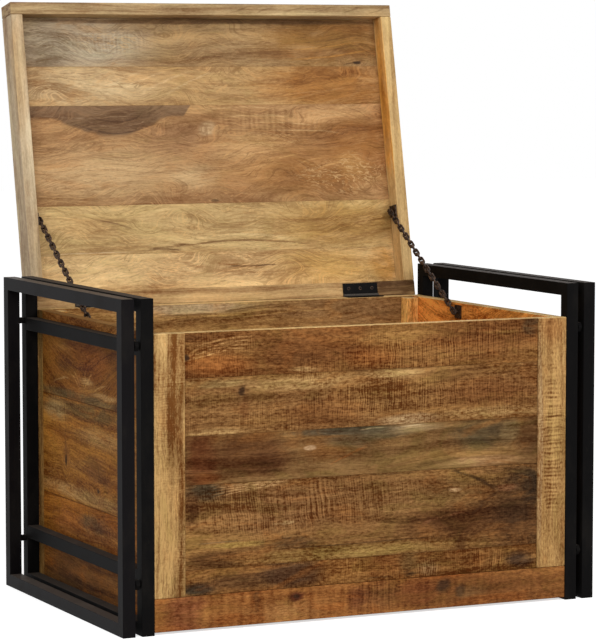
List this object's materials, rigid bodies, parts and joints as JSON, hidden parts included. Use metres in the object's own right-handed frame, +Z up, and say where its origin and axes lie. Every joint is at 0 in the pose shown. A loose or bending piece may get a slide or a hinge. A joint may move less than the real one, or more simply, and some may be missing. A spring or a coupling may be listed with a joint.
{
  "type": "storage chest",
  "caption": "Plank-built wooden storage chest with a hinged lid on stay chains, carried at each end between paired square-tube steel frames.",
  "frame": {"origin": "on the floor, below the centre of the chest's bounding box with the lid open", "axes": "+Z up, the chest's front faces -Y, +X to the right of a person facing the front"},
  "size_m": [0.8, 0.6514, 0.9415],
  "materials": {
    "black_steel": "satin black powder coat",
    "hinge_steel": "black japanned steel",
    "chain_steel": "dark bronzed steel",
    "stile_wood": "golden tan hardwood, rough sawn and waxed",
    "plank_wood": "mixed brown edge-glued hardwood boards, rough sawn and waxed",
    "rail_wood": "reddish hardwood, rough sawn and waxed",
    "lid_wood": "tan edge-glued hardwood boards, smooth lacquer"
  },
  "bodies": {
    "chest": {"outer_frame_left_front_post": "black_steel", "outer_frame_left_rear_post": "black_steel", "outer_frame_left_top_rail": "black_steel", "outer_frame_left_bottom_rail": "black_steel", "outer_frame_right_front_post": "black_steel", "outer_frame_right_rear_post": "black_steel", "outer_frame_right_top_rail": "black_steel", "outer_frame_right_bottom_rail": "black_steel", "inner_frame_left_front_post": "black_steel", "inner_frame_left_rear_post": "black_steel", "inner_frame_left_top_rail": "black_steel", "inner_frame_left_bottom_rail": "black_steel", "inner_frame_right_front_post": "black_steel", "inner_frame_right_rear_post": "black_steel", "inner_frame_right_top_rail": "black_steel", "inner_frame_right_bottom_rail": "black_steel", "inner_frame_left_upper_crossbar": "black_steel", "inner_frame_left_lower_crossbar": "black_steel", "inner_frame_right_upper_crossbar": "black_steel", "inner_frame_right_lower_crossbar": "black_steel", "frame_spacer_left_front_upper": "black_steel", "frame_spacer_left_front_lower": "black_steel", "frame_spacer_left_rear_upper": "black_steel", "frame_spacer_left_rear_lower": "black_steel", "frame_spacer_right_front_upper": "black_steel", "frame_spacer_right_front_lower": "black_steel", "frame_spacer_right_rear_upper": "black_steel", "frame_spacer_right_rear_lower": "black_steel", "front_panel": "plank_wood", "back_panel": "plank_wood", "bottom_panel": "plank_wood", "left_end_panel": "plank_wood", "right_end_panel": "plank_wood", "front_stile_left": "stile_wood", "front_stile_right": "stile_wood", "corner_post_front_left": "stile_wood", "corner_post_front_right": "stile_wood", "corner_post_rear_left": "stile_wood", "corner_post_rear_right": "stile_wood", "front_bottom_rail": "rail_wood", "hinge_left_box_leaf": "hinge_steel", "hinge_left_pin": "hinge_steel", "chain_left_box_plate": "chain_steel", "hinge_right_box_leaf": "hinge_steel", "hinge_right_pin": "hinge_steel", "chain_right_box_plate": "chain_steel"},
    "lid": {"lid_front_rim": "stile_wood", "lid_back_rim": "stile_wood", "lid_left_rim": "stile_wood", "lid_right_rim": "stile_wood", "lid_panel": "lid_wood", "hinge_left_lid_leaf": "hinge_steel", "hinge_right_lid_leaf": "hinge_steel", "chain_left_lid_plate": "chain_steel", "chain_right_lid_plate": "chain_steel"},
    "chain_left_lower": {"chain_left_lower": "chain_steel"},
    "chain_left_upper": {"chain_left_upper": "chain_steel"},
    "chain_right_lower": {"chain_right_lower": "chain_steel"},
    "chain_right_upper": {"chain_right_upper": "chain_steel"}
  },
  "joints": [
    {"name": "lid_hinge", "type": "hinge", "parent": "chest", "child": "lid", "pos_m": [0, 0.18154, 0.44865], "axis": [-1, 0, 0], "range_deg": [-101.4, 0]},
    {"name": "chain_left_box_pivot", "type": "hinge", "parent": "chest", "child": "chain_left_lower", "pos_m": [-0.3205, -0.00726, 0.432], "axis": [-1, 0, 0], "range_deg": [0, 80]},
    {"name": "chain_left_lid_pivot", "type": "hinge", "parent": "lid", "child": "chain_left_upper", "pos_m": [-0.3205, 0.2256, 0.58799], "axis": [-1, 0, 0], "range_deg": [0, 8]},
    {"name": "chain_right_box_pivot", "type": "hinge", "parent": "chest", "child": "chain_right_lower", "pos_m": [0.3205, -0.00726, 0.432], "axis": [-1, 0, 0], "range_deg": [0, 80]},
    {"name": "chain_right_lid_pivot", "type": "hinge", "parent": "lid", "child": "chain_right_upper", "pos_m": [0.3205, 0.2256, 0.58799], "axis": [-1, 0, 0], "range_deg": [0, 8]}
  ],
  "couplings": [
    {"joint": "chain_left_box_pivot", "follows": "lid_hinge", "ratio": -0.7889},
    {"joint": "chain_left_lid_pivot", "follows": "lid_hinge", "ratio": -0.0788},
    {"joint": "chain_right_box_pivot", "follows": "lid_hinge", "ratio": -0.7889},
    {"joint": "chain_right_lid_pivot", "follows": "lid_hinge", "ratio": -0.0788}
  ]
}
